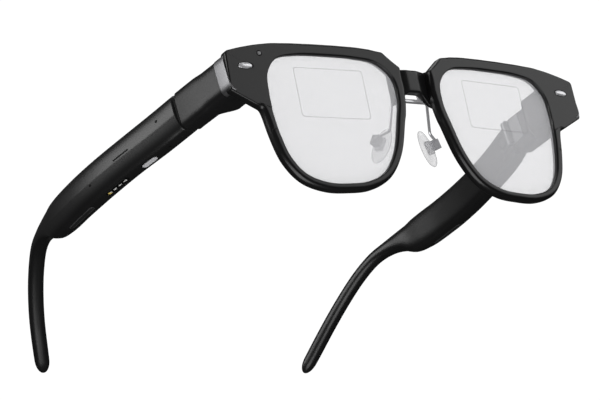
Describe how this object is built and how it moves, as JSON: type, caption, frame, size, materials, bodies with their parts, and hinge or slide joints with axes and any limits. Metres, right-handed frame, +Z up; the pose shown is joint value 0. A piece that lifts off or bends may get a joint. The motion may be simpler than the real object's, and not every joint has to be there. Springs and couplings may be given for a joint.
{
  "type": "smart glasses",
  "caption": "Smart glasses with see-through display lenses, folding temples, wire-mounted clear nose pads, underside push button and charging contacts.",
  "frame": {"origin": "bottom centre of the bounding box, where the rims and ear tips stand on a surface", "axes": "+X to the wearer's left, +Y from the lenses back to the ear tips, +Z up"},
  "size_m": [0.1684, 0.1712, 0.0516],
  "materials": {
    "frame_black": "satin black moulded front, softly rounded edges",
    "led": "smoked clear window",
    "bracket_steel": "polished steel wire and bar",
    "screw_steel": "plain steel",
    "lens": "clear with an anti-reflection coat",
    "waveguide": "clear display plate",
    "grating": "faint frosted grating area",
    "stud_silver": "polished oval rivet head",
    "trim_metal": "brushed gunmetal grey band",
    "housing_black": "satin soft-sheen black",
    "engine_black": "matte black",
    "hinge_steel": "dark plated steel",
    "cap_black": "deep matte black",
    "tip_soft": "soft-touch satin black",
    "battery_foil": "foil pouch",
    "board": "green solder mask",
    "speaker_body": "black",
    "grille_mesh": "fine black mesh",
    "contact_gold": "gold plated",
    "pad_silicone": "clear silicone",
    "holder_clear": "clear stiff plastic",
    "button_silver": "silver anodised"
  },
  "bodies": {
    "front": {"front_frame": "frame_black", "status_led": "led", "nose_bracket": "bracket_steel", "bracket_screws": "screw_steel", "front_lens_left": "lens", "front_lens_right": "lens", "waveguide_left": "waveguide", "waveguide_right": "waveguide", "outcoupler_film_left": "grating", "outcoupler_film_right": "grating", "rivet_stud_left": "stud_silver", "rivet_stud_right": "stud_silver", "trim_band_left": "trim_metal", "trim_band_right": "trim_metal", "engine_housing_left": "housing_black", "engine_housing_right": "housing_black", "light_engine_left": "engine_black", "light_engine_right": "engine_black", "hinge_front_leaf_left": "hinge_steel", "hinge_front_leaf_right": "hinge_steel", "hinge_pin_left": "screw_steel", "hinge_pin_right": "screw_steel"},
    "temple_left": {"hinge_rear_leaf_left": "hinge_steel", "temple_shell_left": "housing_black", "temple_cover_left": "housing_black", "temple_end_cap_left": "cap_black", "ear_tip_left": "tip_soft", "tip_core_left": "screw_steel", "battery_left": "battery_foil", "circuit_board_left": "board", "speaker_left": "speaker_body", "speaker_grille_left": "grille_mesh"},
    "temple_right": {"hinge_rear_leaf_right": "hinge_steel", "temple_shell_right": "housing_black", "temple_cover_right": "housing_black", "temple_end_cap_right": "cap_black", "ear_tip_right": "tip_soft", "tip_core_right": "screw_steel", "battery_right": "battery_foil", "circuit_board_right": "board", "speaker_right": "speaker_body", "speaker_grille_right": "grille_mesh", "button_switch": "speaker_body", "contact_base": "cap_black", "charging_contacts": "contact_gold", "microphones": "hinge_steel"},
    "nose_pad_left": {"nose_pad_left": "pad_silicone", "pad_holder_left": "holder_clear"},
    "nose_pad_right": {"nose_pad_right": "pad_silicone", "pad_holder_right": "holder_clear"},
    "button": {"action_button": "button_silver"}
  },
  "joints": [
    {"name": "temple_fold_left", "type": "hinge", "parent": "front", "child": "temple_left", "pos_m": [0.0667, -0.05162, 0.04042], "axis": [0, 0.0969, 0.9953], "range_deg": [0, 90]},
    {"name": "temple_fold_right", "type": "hinge", "parent": "front", "child": "temple_right", "pos_m": [-0.0667, -0.05162, 0.04042], "axis": [0, -0.0969, -0.9953], "range_deg": [0, 80]},
    {"name": "nose_pad_rock_left", "type": "hinge", "parent": "front", "child": "nose_pad_left", "pos_m": [0.01213, -0.07199, 0.02341], "axis": [-0.2134, -0.9156, -0.3408], "range_deg": [-6, 6]},
    {"name": "nose_pad_rock_right", "type": "hinge", "parent": "front", "child": "nose_pad_right", "pos_m": [-0.01213, -0.07199, 0.02341], "axis": [-0.2134, 0.9156, 0.3408], "range_deg": [-6, 6]},
    {"name": "button_press", "type": "slide", "parent": "temple_right", "child": "button", "axis": [-0.0273, 0.1032, 0.9943], "range_m": [0, 0.0004], "stiffness_N_per_m": 1500}
  ]
}
